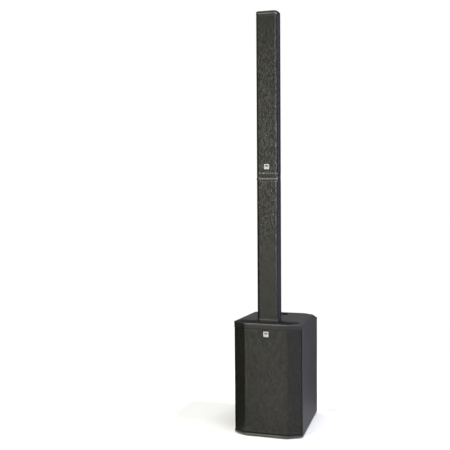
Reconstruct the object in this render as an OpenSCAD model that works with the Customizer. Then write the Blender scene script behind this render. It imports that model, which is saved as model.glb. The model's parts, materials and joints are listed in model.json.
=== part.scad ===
// Column loudspeaker system: a subwoofer cabinet with a two-part column standing in its top.
// Millimetres. +X is to the right seen from the front, the front faces -Y, +Z is up.
// The origin is the middle of the base, on the surface the feet stand on.

/* [Cabinet] */
// Width across the front corners
cab_w = 370; // [350:1:390]
// Depth from the front lip to the rear panel
cab_d = 540; // [520:1:580]
// Height of the top panel above the floor
cab_h = 600; // [590:1:640]
// Angle by which each side leans in towards the rear
side_taper = 3.4; // [0:0.1:4]
// Width of each slanted front facet
chamfer_w = 70; // [60:1:75]
// Depth of each slanted front facet
chamfer_d = 43; // [38:1:46]
// Depth of the level part of the top
top_flat_d = 372; // [360:1:400]
// Drop of the sloping rear part of the top
rear_drop = 44; // [0:1:50]
// Thickness of the wooden boards
board_t = 15; // [12:1:16]
// Height of the rubber feet
foot_h = 6; // [4:1:7]

/* [Column] */
// Width of the column
col_w = 110; // [104:1:112]
// Depth of the column
col_d = 87; // [84:1:92]
// Distance from the cabinet's front lip back to the column's front
col_setback = 31; // [29:1:34]
// Height of the joint between the two column parts
joint_z = 1355; // [1300:5:1400]
// Height of the column's top
total_h = 2200; // [2180:5:2240]
// Wall of the column housings
col_wall = 2.5; // [2:0.5:3]

/* [Spigots] */
// Width of the plug under each column part
spigot_w = 69; // [66:1:70]
// Depth of that plug, front to back
spigot_d = 49; // [46:1:50]
// Length of the plug that enters the cabinet
low_spigot = 80; // [70:1:85]
// Length of the plug that enters the lower column
up_spigot = 60; // [50:1:65]

/* [Drivers] */
// Radius of the woofer's frame
woofer_r = 155; // [150:1:158]
// Height of the woofer's centre
woofer_z = 215; // [205:1:220]
// Number of mid-range drivers
mid_n = 6; // [4:1:6]
// Spacing of the mid-range drivers
mid_pitch = 100; // [90:1:100]
// Radius of the mid-range frames
mid_r = 38; // [34:1:38]

/* [Rear plate] */
// Width of the recessed amplifier plate
plate_w = 236; // [230:1:240]
// Height of the recessed amplifier plate
plate_h = 380; // [370:1:390]
// Depth by which the plate lies inside the rear face
plate_recess = 18; // [16:1:19]

/* [Hidden] */
$fn = 64;
fit_gap = 0.3;
front_y = -cab_d / 2;
rear_y = cab_d / 2;
corner_y = front_y + chamfer_d;
slope_y = front_y + top_flat_d;
facet_w = cab_w / 2 - chamfer_w;
chamfer_a = atan2(chamfer_d, chamfer_w);
floor_z = foot_h + board_t;
ceiling_z = cab_h - board_t;
side_front_y = corner_y + 4;
rear_slope = atan2(rear_drop, cab_d - top_flat_d);
glue_t = 0.1;

// Front mouldings
lip_w = cab_w / 2 - 1;
header_t = 3;
header_z = cab_h - 34;
tray_top = cab_h - 3;
tray_z = ceiling_z + fit_gap;
tray_back_w = 150;
tray_back_y = front_y + 85;
plinth_top = 19;
plinth_step = 3.5;
grille_off = 1.5;
grille_t = 1.5;
grille_z = 25.5;
foam_t = 5;

// Baffle, brace and rear panel
baffle_y = corner_y + 2;
baffle_t = 18;
brace_y = -40;
rear_t = 30;
frame_w = 60;
port_at = [95, 430];
port_r = 45;
port_wall = 3;
port_flange = 6;
port_len = 160;
plate_y = rear_y - plate_recess - 2;
plate_t = 2;
plate_z = 120;
ledge = 10;
plate_screw_r = 2;
plate_head_r = 3.6;
wadding_w = 250;
wadding_t = 30;

// Top bevels and grip
bevel_drop = 4;
bevel_a = 6.3;
bevel_fall = 0.21;
rear_round = 14;
grip_w = 80;
grip_y = 20;
grip_d = 50;
grip_deep = 55;
cup_t = 3;

// Column outline
col_front = front_y + col_setback;
col_rear = col_front + col_d;
col_mid = (col_front + col_rear) / 2;
front_bevel = 12;
rear_bevel = 8;
grille_return = 22;
low_cap_h = 15;
end_cap_h = 20;
socket_t = 4;
socket_gap = 0.5;
pad_t = 1;
pin_room = 12;
pin_pitch = 10;
pin_r = 1.5;
pad_r = 3.5;
wire_r = 1.8;
well_floor = cab_h - low_spigot - pin_room;
up_well_floor = joint_z - up_spigot - pin_room;
low_z0 = cab_h + fit_gap;
low_z1 = joint_z - fit_gap;
low_body0 = cab_h + low_cap_h;
low_body1 = joint_z - end_cap_h;
up_body0 = joint_z + end_cap_h;
up_body1 = total_h - end_cap_h - 3;
cap_step = 1.5;

// Woofer section, measured back from the baffle's face
flange_t = 5;
cone_r = 118;
roll_r = 8;
coil_r = 37;
magnet_h = 98;
woofer_screws_n = 8;
mid_scale = mid_r / woofer_r;
mid_z = joint_z + 85;
mid_y = col_front + 13;
horn_z = total_h - 120;
horn_w = 92;
horn_h = 130;
horn_depth = 32;
throat_r = 13;
basket_windows = 6;
flange_w = 13;
screw_hole_r = 2.3;

// Controls on the rear plate
knob_x = [-75, -25, 25, 75];
knob_z = 455;
knob_r = 9;
shaft_r = 3;
jack_x = [-60, 0, 60];
jack_z = 395;
jack_bore_r = 3.2;
led_z = 485;
button_at = [98, 425];
button_r = 4;
inlet_z = 160;
inlet_x = 60;
switch_x = 0;
rocker_tilt = 9;
rocker_in = 3;
amp_board_gap = 28;
supply_gap = 60;

wood_paint = "#353638";
moulding = "#1c1d1e";
steel = "#3c3d38";
silver = "#c9cacb";

// ---- Outlines -------------------------------------------------------------------------------

function reversed(v) = [for (i = [len(v) - 1:-1:0]) v[i]];

// Half-width of the cabinet at depth y, less a wall
function side_x(y, wall = 0) =
    cab_w / 2 - wall / cos(side_taper) - (y - corner_y) * tan(side_taper);

// Depth of the slanted facet at half-width x, set back by off
function chamfer_y(x, off) =
    front_y + (off + (x - facet_w) * sin(chamfer_a)) / cos(chamfer_a);

// The three-facet front line, set back by off and ended at end_x
function front_line(off, end_x) = let (k = facet_w - off * tan(chamfer_a / 2)) [
    [-end_x, chamfer_y(end_x, off)],
    [-k, front_y + off],
    [k, front_y + off],
    [end_x, chamfer_y(end_x, off)]
];

// The column's outline with 45-degree corner bevels, set in by t
function column_outline(t) = let (
    k = t * tan(22.5),
    hx = col_w / 2 - t,
    fx = col_w / 2 - front_bevel - k,
    rx = col_w / 2 - rear_bevel - k,
    fy = col_front + front_bevel + k,
    ry = col_rear - rear_bevel - k
) [
    [-fx, col_front + t], [fx, col_front + t], [hx, fy], [hx, ry],
    [rx, col_rear - t], [-rx, col_rear - t], [-hx, ry], [-hx, fy]
];

module rise(z0, z1) {
    translate([0, 0, z0])
        linear_extrude(z1 - z0)
            children();
}

module block(x0, x1, y0, y1, z0, z1) {
    translate([x0, y0, z0])
        cube([x1 - x0, y1 - y0, z1 - z0]);
}

// A strip that follows the three front facets
module front_band(off, t, end_x, z0, z1) {
    rise(z0, z1)
        polygon(concat(front_line(off, end_x), reversed(front_line(off + t, end_x))));
}

// The tapered plan of a board between the depths y0 and y1
module board_plan(y0, y1, wall) {
    polygon([
        [-side_x(y0, wall), y0], [side_x(y0, wall), y0],
        [side_x(y1, wall), y1], [-side_x(y1, wall), y1]
    ]);
}

// Everything below the top surface lowered by depth, with the rounded rear edge
module below_top(depth) {
    rear_z = cab_h - rear_drop - depth;
    rotate([90, 0, 90])
        linear_extrude(cab_w + 2, center = true)
            difference() {
                polygon([
                    [front_y - 1, 0], [rear_y, 0], [rear_y, rear_z],
                    [slope_y, cab_h - depth], [front_y - 1, cab_h - depth]
                ]);
                if (depth == 0)
                    difference() {
                        translate([rear_y - rear_round, rear_z - rear_round])
                            square(2 * rear_round);
                        translate([rear_y - rear_round, rear_z - rear_round * (1 - sin(rear_slope))])
                            circle(rear_round);
                    }
            }
}

module mirrored(side) {
    mirror([side < 0 ? 1 : 0, 0, 0])
        children();
}

// Turns a shape about Z into one about the front-to-back axis, from the depth y
module facing(x, y, z) {
    translate([x, y, z])
        rotate([-90, 0, 0])
            children();
}

// ---- Cabinet boards -------------------------------------------------------------------------

module side_panel(side) {
    color(wood_paint)
        mirrored(side)
            intersection() {
                below_top(board_t);
                rise(foot_h, cab_h)
                    polygon([
                        [side_x(side_front_y), side_front_y],
                        [side_x(rear_y), rear_y],
                        [side_x(rear_y, board_t), rear_y],
                        [side_x(side_front_y, board_t), side_front_y]
                    ]);
            }
}

module side_panel_left() {
    side_panel(-1);
}

module side_panel_right() {
    side_panel(1);
}

// The area of the front moulding on the top, widened by g
module tray_plan(g) {
    polygon(concat(
        front_line(0, lip_w),
        [[tray_back_w + g, tray_back_y + g], [-tray_back_w - g, tray_back_y + g]]
    ));
}

module seat_plan(g) {
    translate([-col_w / 2 - 4 - g, col_front - 3 - g])
        square([col_w + 8 + 2 * g, col_d + 7 + 2 * g]);
}

// The shallow slanted facet along one edge of the top
module edge_bevel(y, lean) {
    translate([side_x(y), y, cab_h - bevel_drop - (y - corner_y) * tan(bevel_fall)])
        rotate([-bevel_fall - lean, bevel_a, side_taper])
            translate([-cab_w / 2, -2 * cab_w, 0])
                cube([cab_w, 4 * cab_w, cab_w]);
}

module edge_bevels() {
    for (side = [-1, 1])
        mirrored(side) {
            intersection() {
                edge_bevel(corner_y, 0);
                block(0, cab_w, front_y, slope_y, 0, 2 * cab_h);
            }
            intersection() {
                edge_bevel(slope_y, rear_slope);
                block(0, cab_w, slope_y, rear_y + 1, 0, 2 * cab_h);
            }
        }
}

module top_panel() {
    color(wood_paint)
        difference() {
            intersection() {
                below_top(0);
                rise(0, cab_h)
                    board_plan(side_front_y, rear_y, 0);
            }
            below_top(board_t);
            rise(0, 2 * cab_h)
                tray_plan(fit_gap);
            rise(0, 2 * cab_h)
                seat_plan(fit_gap);
            block(-grip_w / 2, grip_w / 2, grip_y, grip_y + grip_d, 0, 2 * cab_h);
            edge_bevels();
        }
}

module bottom_panel() {
    color(wood_paint)
        rise(foot_h, floor_z)
            board_plan(side_front_y + 1, rear_y, board_t + glue_t);
}

module plate_screw_spots() {
    for (sx = [-1, 1])
        for (i = [0:4])
            translate([sx * (plate_w / 2 - 5), plate_y, plate_z + 12 + i * (plate_h - 24) / 4])
                children();
}

module rear_panel() {
    color(wood_paint)
        difference() {
            intersection() {
                below_top(board_t);
                rise(floor_z, cab_h)
                    board_plan(rear_y - rear_t, rear_y, board_t + glue_t);
            }
            block(
                -plate_w / 2 - 1, plate_w / 2 + 1,
                plate_y, rear_y + 1,
                plate_z - 1, plate_z + plate_h + 1
            );
            block(
                -plate_w / 2 + ledge, plate_w / 2 - ledge,
                rear_y - rear_t - 1, rear_y,
                plate_z + ledge, plate_z + plate_h - ledge
            );
            plate_screw_spots()
                rotate([90, 0, 0])
                    cylinder(h = 9, r = plate_screw_r);
        }
}

module woofer_screw_spots() {
    for (i = [0:woofer_screws_n - 1])
        facing(0, baffle_y, woofer_z)
            rotate([0, 0, 22.5 + i * 360 / woofer_screws_n])
                translate([woofer_r - 7, 0, 0])
                    children();
}

module baffle_board() {
    color("#5b4a38")
        difference() {
            rise(floor_z, ceiling_z)
                board_plan(baffle_y, baffle_y + baffle_t, board_t + glue_t);
            block(
                -spigot_w / 2 - socket_gap - socket_t - fit_gap,
                spigot_w / 2 + socket_gap + socket_t + fit_gap,
                front_y, 0,
                cab_h - low_spigot - pin_room - socket_t - fit_gap, cab_h
            );
            facing(0, baffle_y - 1, woofer_z)
                cylinder(h = baffle_t + 2, r = woofer_r - flange_w);
            for (side = [-1, 1])
                facing(side * port_at[0], baffle_y - 1, port_at[1])
                    cylinder(h = baffle_t + 2, r = port_r);
            woofer_screw_spots()
                cylinder(h = 14, r = screw_hole_r);
        }
}

module cross_brace() {
    color("#5b4a38")
        difference() {
            rise(floor_z, ceiling_z)
                board_plan(brace_y, brace_y + board_t, board_t + glue_t);
            block(
                -cab_w / 2 + board_t + frame_w + 10, cab_w / 2 - board_t - frame_w - 10,
                brace_y - 1, brace_y + board_t + 1,
                floor_z + frame_w, ceiling_z - frame_w
            );
        }
}

module port_tubes() {
    color(moulding)
        for (side = [-1, 1])
            facing(side * port_at[0], baffle_y, port_at[1])
                difference() {
                    union() {
                        cylinder(h = port_len, r = port_r);
                        translate([0, 0, -port_wall])
                            cylinder(h = port_wall, r = port_r + port_flange);
                    }
                    translate([0, 0, -port_wall - 1])
                        cylinder(h = port_len + port_wall + 2, r = port_r - port_wall);
                }
}

module damping_wadding() {
    color("#7d7d78")
        block(
            -wadding_w / 2, wadding_w / 2,
            brace_y + board_t + 5, rear_y - rear_t - 10,
            floor_z, floor_z + wadding_t
        );
}

// ---- Mouldings, grille and feet -------------------------------------------------------------

// Outside of the socket well that hangs under a top, down to the depth z0
module well_body(z0, z1) {
    hx = spigot_w / 2 + socket_gap + socket_t;
    hy = spigot_d / 2 + socket_gap + socket_t;
    block(-hx, hx, col_mid - hy, col_mid + hy, z0, z1);
}

module well_hollow(z0, z1) {
    hx = spigot_w / 2 + socket_gap;
    hy = spigot_d / 2 + socket_gap;
    block(-hx, hx, col_mid - hy, col_mid + hy, z0, z1);
}

module column_tray() {
    color(moulding)
        difference() {
            union() {
                rise(tray_z, tray_top)
                    tray_plan(0);
                rise(tray_z, cab_h)
                    seat_plan(0);
                front_band(0, header_t, lip_w, header_z, tray_z);
                well_body(well_floor - socket_t, tray_z);
            }
            well_hollow(well_floor, cab_h + 1);
        }
}

// A block with four spring pins, standing on the well's floor at z
module pin_block(z, pin_h) {
    block(-22, 22, col_mid - 8, col_mid + 8, z, z + 3);
    for (i = [-1.5:1:1.5])
        translate([i * pin_pitch, col_mid, z])
            cylinder(h = pin_h, r = pin_r);
}

module socket_contacts() {
    color("gold")
        pin_block(well_floor, pin_room - pad_t - fit_gap);
}

module plinth() {
    color(moulding) {
        rise(foot_h + 1, plinth_top)
            polygon(concat(
                front_line(0, lip_w),
                [[lip_w, side_front_y - fit_gap], [-lip_w, side_front_y - fit_gap]]
            ));
        intersection() {
            front_band(plinth_step, 6, lip_w - 2, plinth_top, grille_z);
            block(-cab_w, cab_w, front_y, side_front_y - fit_gap, 0, cab_h);
        }
    }
}

module cabinet_grille() {
    color(steel)
        front_band(grille_off, grille_t, lip_w - 2, grille_z, header_z - fit_gap);
}

module grille_foam() {
    color("#101010")
        front_band(grille_off + grille_t + 0.1, foam_t, 166, grille_z + 5, header_z - 6);
}

// A rounded square plate facing forward, its face at the depth y
module badge(y, z) {
    half = 15.5;
    corner = 5;
    translate([0, y, z])
        rotate([-90, 0, 0])
            linear_extrude(1.3) {
                square([2 * half, 2 * (half - corner)], center = true);
                square([2 * (half - corner), 2 * half], center = true);
                for (sx = [-1, 1])
                    for (sz = [-1, 1])
                        translate([sx * (half - corner), sz * (half - corner)])
                            circle(corner);
            }
}

module cabinet_badge() {
    color(silver)
        badge(front_y, cab_h - 57);
}

module handle_cup() {
    color(moulding)
        difference() {
            block(
                -grip_w / 2 - cup_t, grip_w / 2 + cup_t,
                grip_y - cup_t, grip_y + grip_d + cup_t,
                ceiling_z - grip_deep, ceiling_z
            );
            block(
                -grip_w / 2, grip_w / 2,
                grip_y, grip_y + grip_d,
                ceiling_z - grip_deep + cup_t, cab_h
            );
        }
}

module rubber_feet() {
    color("#151515")
        for (sx = [-1, 1])
            for (y = [front_y + 95, rear_y - 45])
                translate([sx * (side_x(y, board_t) - 22), y, 0])
                    cylinder(h = foot_h, r = 18);
}

// ---- Drivers --------------------------------------------------------------------------------

module basket_shape() {
    difference() {
        rotate_extrude()
            polygon([
                [134, -flange_t], [woofer_r, -flange_t], [woofer_r, 0], [141, 0],
                [141, 22], [76, magnet_h], [42, magnet_h], [42, 95],
                [74.5, 95], [138, 21], [138, -2], [134, -2]
            ]);
        for (i = [0:basket_windows - 1])
            rotate([0, 0, i * 360 / basket_windows])
                translate([60, -26, 34])
                    cube([100, 52, 38]);
    }
}

module magnet_shape() {
    rotate_extrude()
        polygon([
            [0, magnet_h - 2], [coil_r - 1, magnet_h - 2], [coil_r - 1, 126], [48, 126],
            [48, 106], [40, 106], [40, magnet_h], [76, magnet_h],
            [76, 106], [85, 106], [85, 126], [78, 126],
            [78, 134], [0, 134]
        ]);
}

module surround_shape() {
    rotate_extrude() {
        translate([cone_r + roll_r, -flange_t])
            intersection() {
                difference() {
                    circle(roll_r);
                    circle(roll_r - 1);
                }
                translate([-roll_r, -roll_r])
                    square([2 * roll_r, roll_r]);
            }
        translate([cone_r - 5, -flange_t - 1])
            square([6, 1]);
        translate([cone_r + 2 * roll_r - 1, -flange_t - 1])
            square([6, 1]);
    }
}

module cone_shape() {
    rotate_extrude()
        polygon([
            [cone_r - 5, -flange_t], [cone_r, -flange_t], [cone_r, -flange_t + 2],
            [40.5, 71], [38.5, 71], [38.5, 69]
        ]);
}

module coil_shape() {
    rotate_extrude()
        translate([coil_r, 71])
            square([1.5, 41]);
}

module cap_shape() {
    cap_r = 62;
    cap_z = 112;
    rotate_extrude()
        intersection() {
            difference() {
                translate([0, cap_z])
                    circle(cap_r);
                translate([0, cap_z])
                    circle(cap_r - 1.2);
            }
            translate([0, cap_z - cap_r])
                square([cap_r, 13]);
        }
}

module woofer_basket() {
    color("#2a2a2a")
        difference() {
            facing(0, baffle_y, woofer_z)
                basket_shape();
            woofer_screw_spots()
                translate([0, 0, -flange_t - 1])
                    cylinder(h = flange_t + 2, r = screw_hole_r);
        }
}

module woofer_magnet() {
    color("#555555")
        facing(0, baffle_y, woofer_z)
            magnet_shape();
}

module woofer_surround() {
    color("#181818")
        facing(0, baffle_y, woofer_z)
            surround_shape();
}

// Rippled suspension ring between the voice coil and the frame
module woofer_spider() {
    ripple_in = 42;
    ripple_out = 80;
    ripples = 5;
    steps = 60;
    line = [
        for (i = [0:steps]) let (s = i / steps)
            [ripple_in + (ripple_out - ripple_in) * s, 84 + 1.6 * sin(360 * ripples * s)]
    ];
    color("#c9b08a")
        facing(0, baffle_y, woofer_z)
            rotate_extrude()
                polygon(concat(line, [for (p = reversed(line)) [p[0], p[1] + 0.8]]));
}

module woofer_screws() {
    color("#303030")
        woofer_screw_spots() {
            translate([0, 0, -flange_t - 2.5])
                cylinder(h = 2.5, r = 4.5);
            translate([0, 0, -flange_t - 1])
                cylinder(h = flange_t + 14, r = screw_hole_r - 0.1);
        }
}

module woofer_cone() {
    color("#202020")
        facing(0, baffle_y, woofer_z)
            cone_shape();
}

module dust_cap() {
    color("#242424")
        facing(0, baffle_y, woofer_z)
            cap_shape();
}

module voice_coil() {
    color("#b06a30")
        facing(0, baffle_y, woofer_z)
            coil_shape();
}

module mid_spots() {
    for (i = [0:mid_n - 1])
        facing(0, mid_y, mid_z + i * mid_pitch)
            scale(mid_scale)
                children();
}

// ---- Rear plate and electronics -------------------------------------------------------------

module amp_plate() {
    color("#222324")
        difference() {
            block(
                -plate_w / 2, plate_w / 2, plate_y, plate_y + plate_t,
                plate_z, plate_z + plate_h
            );
            for (x = knob_x)
                facing(x, plate_y - 1, knob_z)
                    cylinder(h = plate_t + 2, r = shaft_r + 0.5);
            for (x = jack_x)
                facing(x, plate_y - 1, jack_z)
                    cylinder(h = plate_t + 2, r = 12);
            for (i = [0:3])
                facing(-30 + 20 * i, plate_y - 1, led_z)
                    cylinder(h = plate_t + 2, r = 2.6);
            facing(button_at[0], plate_y - 1, button_at[1])
                cylinder(h = plate_t + 2, r = button_r + 0.3);
            block(inlet_x - 14.2, inlet_x + 14.2, 0, rear_y, inlet_z - 11.2, inlet_z + 11.2);
            block(switch_x - 10.2, switch_x + 10.2, 0, rear_y, inlet_z - 14.2, inlet_z + 14.2);
            plate_screw_spots()
                translate([0, plate_t + 1, 0])
                    rotate([90, 0, 0])
                        cylinder(h = plate_t + 2, r = plate_screw_r);
        }
}

module plate_screws() {
    color("#2c2c2c")
        plate_screw_spots() {
            translate([0, plate_t + 2, 0])
                rotate([90, 0, 0])
                    cylinder(h = 2, r = plate_head_r);
            translate([0, plate_t + 1, 0])
                rotate([90, 0, 0])
                    cylinder(h = 9, r = plate_screw_r - 0.1);
        }
}

module heatsink() {
    fins = 13;
    fin_t = 3;
    fin_d = 12;
    base_t = 4;
    sink_w = 160;
    sink_z = 225;
    sink_h = 110;
    y0 = plate_y + plate_t;
    color("#1e1f20") {
        block(-sink_w / 2, sink_w / 2, y0, y0 + base_t, sink_z, sink_z + sink_h);
        for (i = [0:fins - 1])
            translate([-sink_w / 2 + i * (sink_w - fin_t) / (fins - 1), y0 + base_t - 1, sink_z])
                cube([fin_t, fin_d, sink_h]);
    }
}

module amp_board() {
    board_y = plate_y - amp_board_gap;
    pot = 9;
    color("#1f4d33")
        difference() {
            union() {
                block(-105, 105, board_y, board_y + 2, 345, 478);
                for (x = knob_x)
                    block(x - pot, x + pot, board_y + 1, plate_y - 4, knob_z - pot, knob_z + pot);
                translate([button_at[0] - 12, board_y + 1, button_at[1] - 6])
                    cube([16, 13, 12]);
                for (i = [0:3])
                    translate([-70 + i * 45, board_y + 1, 362])
                        rotate([90, 0, 0])
                            cylinder(h = 26, r = 9);
            }
            for (x = knob_x)
                facing(x, board_y + 8, knob_z)
                    cylinder(h = 40, r = shaft_r + 0.06);
        }
}

module power_supply() {
    board_y = plate_y - supply_gap;
    color("#20543a") {
        block(-95, 95, board_y, board_y + 2, 205, 330);
        block(-85, -25, board_y - 45, board_y + 1, 225, 285);
        for (i = [0:2])
            translate([5 + i * 32, board_y + 1, 250])
                rotate([90, 0, 0])
                    cylinder(h = 40, r = 13);
        for (sx = [-1, 1])
            for (z = [212, 322])
                facing(sx * 88, board_y + 1, z)
                    cylinder(h = supply_gap - 1, r = 3);
    }
}

// Mains socket with its three blades, and the bezel of the rocker beside it
module mains_inlet() {
    y1 = plate_y + plate_t;
    color("#161616")
        difference() {
            union() {
                block(inlet_x - 14, inlet_x + 14, plate_y - 20, y1 + 1, inlet_z - 11, inlet_z + 11);
                block(inlet_x - 19, inlet_x + 19, y1, y1 + 2, inlet_z - 14, inlet_z + 14);
                block(switch_x - 10, switch_x + 10, plate_y - 14, y1 + 1, inlet_z - 14, inlet_z + 14);
                block(switch_x - 12, switch_x + 12, y1, y1 + 2, inlet_z - 16, inlet_z + 16);
            }
            block(inlet_x - 12, inlet_x + 12, plate_y - 16, y1 + 3, inlet_z - 8, inlet_z + 8);
            block(switch_x - 7, switch_x + 7, plate_y - 12, y1 + 3, inlet_z - 12.5, inlet_z + 12.5);
            translate([switch_x - 9, y1 - rocker_in, inlet_z])
                rotate([0, 90, 0])
                    cylinder(h = 18, r = 1.55);
        }
    color(silver)
        for (p = [[-7, -3], [0, 3], [7, -3]])
            block(
                inlet_x + p[0] - 1, inlet_x + p[0] + 1,
                plate_y - 17, plate_y - 3,
                inlet_z + p[1] - 2, inlet_z + p[1] + 2
            );
}

module power_switch() {
    y1 = plate_y + plate_t;
    color("#8a1f1c")
        translate([switch_x, y1 - rocker_in, inlet_z])
            rotate([-rocker_tilt, 0, 0]) {
                intersection() {
                    rotate([0, 90, 0])
                        cylinder(h = 13.6, r = 11.8, center = true);
                    block(-8, 8, -3, 5.5, -12, 12);
                }
                rotate([0, 90, 0])
                    cylinder(h = 17.6, r = 1.5, center = true);
            }
}

module signal_jacks() {
    y1 = plate_y + plate_t;
    color("#191919")
        for (x = jack_x)
            facing(x, 0, jack_z)
                difference() {
                    union() {
                        translate([0, 0, y1 - 25])
                            cylinder(h = 25, r = 11.8);
                        translate([-13, -15.5, y1])
                            cube([26, 31, 2.5]);
                    }
                    translate([0, 0, y1 - 22])
                        cylinder(h = 30, r = jack_bore_r);
                    translate([0, 0, y1 - 10])
                        difference() {
                            cylinder(h = 20, r = 10.2);
                            cylinder(h = 20, r = 8.6);
                        }
                }
}

module status_leds() {
    color("#3fae4a")
        for (i = [0:3])
            facing(-30 + 20 * i, plate_y - 1, led_z) {
                cylinder(h = plate_t + 2, r = 2.5);
                translate([0, 0, plate_t + 2])
                    sphere(2.5);
            }
}

// A control knob with its pointer ridge and the potentiometer shaft
module knob(x) {
    y0 = plate_y + plate_t + 1.5;
    color("#2b2c2d") {
        facing(x, y0, knob_z) {
            cylinder(h = 13, r = knob_r);
            translate([-1, -knob_r - 1, 3])
                cube([2, knob_r + 1, 10.6]);
        }
        facing(x, plate_y - 15, knob_z)
            cylinder(h = 19, r = shaft_r);
    }
}

module channel_1_knob() {
    knob(knob_x[3]);
}

module channel_2_knob() {
    knob(knob_x[2]);
}

module sub_knob() {
    knob(knob_x[1]);
}

module master_knob() {
    knob(knob_x[0]);
}

module mode_button() {
    color("#b8b9ba")
        facing(button_at[0], plate_y - 11, button_at[1])
            cylinder(h = 17, r = button_r);
}

// A wire through a list of points, with a bead at each turn
module wire(points, r) {
    for (i = [0:len(points) - 2]) {
        step = points[i + 1] - points[i];
        translate(points[i])
            rotate([0, acos(step[2] / norm(step)), atan2(step[1], step[0])])
                cylinder(h = norm(step), r = r);
    }
    for (p = points)
        translate(p)
            sphere(r * 1.2);
}

module wiring_harness() {
    board_y = plate_y - amp_board_gap;
    color("#8b1a1a")
        wire([
            [0, col_mid, well_floor - socket_t - 5], [0, -130, 480],
            [0, 60, 480], [30, board_y - 6, 440]
        ], 4);
    color("#222222")
        wire([[88, -110, 240], [92, -60, 300], [92, 60, 340], [85, board_y - 5, 380]], 3);
}

// ---- Column parts ---------------------------------------------------------------------------

module column_slab(z0, z1, t = 0) {
    rise(z0, z1)
        polygon(column_outline(t));
}

module column_housing(z0, z1) {
    color("#33353a")
        difference() {
            column_slab(z0, z1);
            column_slab(z0 - 1, z1 + 1, col_wall);
            block(-col_w, col_w, front_y, col_front + grille_return, z0 - 1, z1 + 1);
        }
}

module column_grille(z0, z1) {
    color(steel)
        difference() {
            column_slab(z0, z1, 0.2);
            column_slab(z0 - 1, z1 + 1, 1.6);
            block(-col_w, col_w, col_front + grille_return - fit_gap, rear_y, z0 - 1, z1 + 1);
        }
}

// The plug under a column part: a thin-walled box with its end closed
module spigot(top_z, length) {
    difference() {
        block(
            -spigot_w / 2, spigot_w / 2,
            col_mid - spigot_d / 2, col_mid + spigot_d / 2,
            top_z - length, top_z + 1
        );
        block(
            -spigot_w / 2 + socket_t, spigot_w / 2 - socket_t,
            col_mid - spigot_d / 2 + socket_t, col_mid + spigot_d / 2 - socket_t,
            top_z - length + socket_t, top_z + 2
        );
    }
}

module contact_pads(z) {
    for (i = [-1.5:1:1.5])
        translate([i * pin_pitch, col_mid, z])
            cylinder(h = pad_t, r = pad_r);
}

module lower_housing() {
    column_housing(low_body0, low_body1);
}

module lower_grille() {
    column_grille(low_body0, low_body1);
}

module lower_bottom_cap() {
    color(moulding)
        difference() {
            union() {
                column_slab(low_z0, low_body0);
                spigot(low_z0, low_spigot - fit_gap);
            }
            well_hollow(low_z0 + 2, low_body0 + 1);
            block(
                -spigot_w / 2 + socket_t, spigot_w / 2 - socket_t,
                col_mid - spigot_d / 2 + socket_t, col_mid + spigot_d / 2 - socket_t,
                low_z0 - 1, low_body0
            );
        }
}

module lower_top_cap() {
    color(moulding)
        difference() {
            union() {
                column_slab(low_body1, low_z1);
                well_body(up_well_floor - socket_t, low_body1 + 1);
            }
            well_hollow(up_well_floor, joint_z + 1);
        }
}

module lower_contacts() {
    color("gold") {
        pin_block(up_well_floor, pin_room - pad_t - fit_gap);
        contact_pads(low_z0 - low_spigot + fit_gap - pad_t);
    }
}

module lower_wires() {
    color("#8b1a1a")
        for (i = [-1.5:1:1.5])
            translate([i * 8, col_mid + 6, cab_h - low_spigot + 6])
                cylinder(h = up_well_floor - socket_t - cab_h + low_spigot - 8, r = wire_r);
}

module upper_housing() {
    column_housing(up_body0, up_body1);
}

module upper_grille() {
    column_grille(up_body0, up_body1);
}

module upper_top_cap() {
    color(moulding)
        difference() {
            union() {
                column_slab(up_body1, total_h - cap_step);
                column_slab(total_h - cap_step - 0.5, total_h, cap_step);
            }
            column_slab(up_body1 - 1, total_h - 5, 6);
        }
}

module upper_bottom_cap() {
    color(moulding)
        difference() {
            union() {
                column_slab(joint_z, up_body0);
                spigot(joint_z, up_spigot);
            }
            block(
                -spigot_w / 2 + socket_t, spigot_w / 2 - socket_t,
                col_mid - spigot_d / 2 + socket_t, col_mid + spigot_d / 2 - socket_t,
                joint_z - 1, up_body0 + 1
            );
        }
}

module upper_contacts() {
    color("gold")
        contact_pads(joint_z - up_spigot - pad_t);
}

module upper_baffle() {
    color("#1b1b1b")
        difference() {
            block(-50, 50, mid_y, mid_y + 3, up_body0, up_body1);
            for (i = [0:mid_n - 1])
                facing(0, mid_y - 1, mid_z + i * mid_pitch)
                    cylinder(h = 5, r = mid_scale * (woofer_r - flange_w));
            block(
                -horn_w / 2, horn_w / 2, mid_y - 1, mid_y + 4,
                horn_z - horn_h / 2, horn_z + horn_h / 2
            );
        }
}

module mid_baskets() {
    color("#2a2a2a")
        mid_spots()
            basket_shape();
}

module mid_magnets() {
    color("#555555")
        mid_spots()
            magnet_shape();
}

module mid_surrounds() {
    color("#181818")
        mid_spots()
            surround_shape();
}

module mid_cones() {
    color("#202020")
        mid_spots() {
            cone_shape();
            translate([0, 0, -1])
                coil_shape();
            cap_shape();
        }
}

// A flared horn: rectangular mouth in front, round throat behind
module horn() {
    color("#1d1d1d")
        difference() {
            union() {
                block(
                    -horn_w / 2 + fit_gap, horn_w / 2 - fit_gap, mid_y, mid_y + 6,
                    horn_z - horn_h / 2 + fit_gap, horn_z + horn_h / 2 - fit_gap
                );
                facing(0, mid_y + 5, horn_z)
                    cylinder(h = horn_depth - 5, r1 = 42, r2 = throat_r + 5);
            }
            facing(0, mid_y - 0.01, horn_z)
                cylinder(h = horn_depth + 0.02, r1 = 38, r2 = throat_r);
        }
}

module horn_driver() {
    color("#4c4c4c")
        facing(0, mid_y + horn_depth, horn_z) {
            cylinder(h = 4, r = 26);
            translate([0, 0, 3])
                cylinder(h = 20, r = 24);
        }
}

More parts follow.
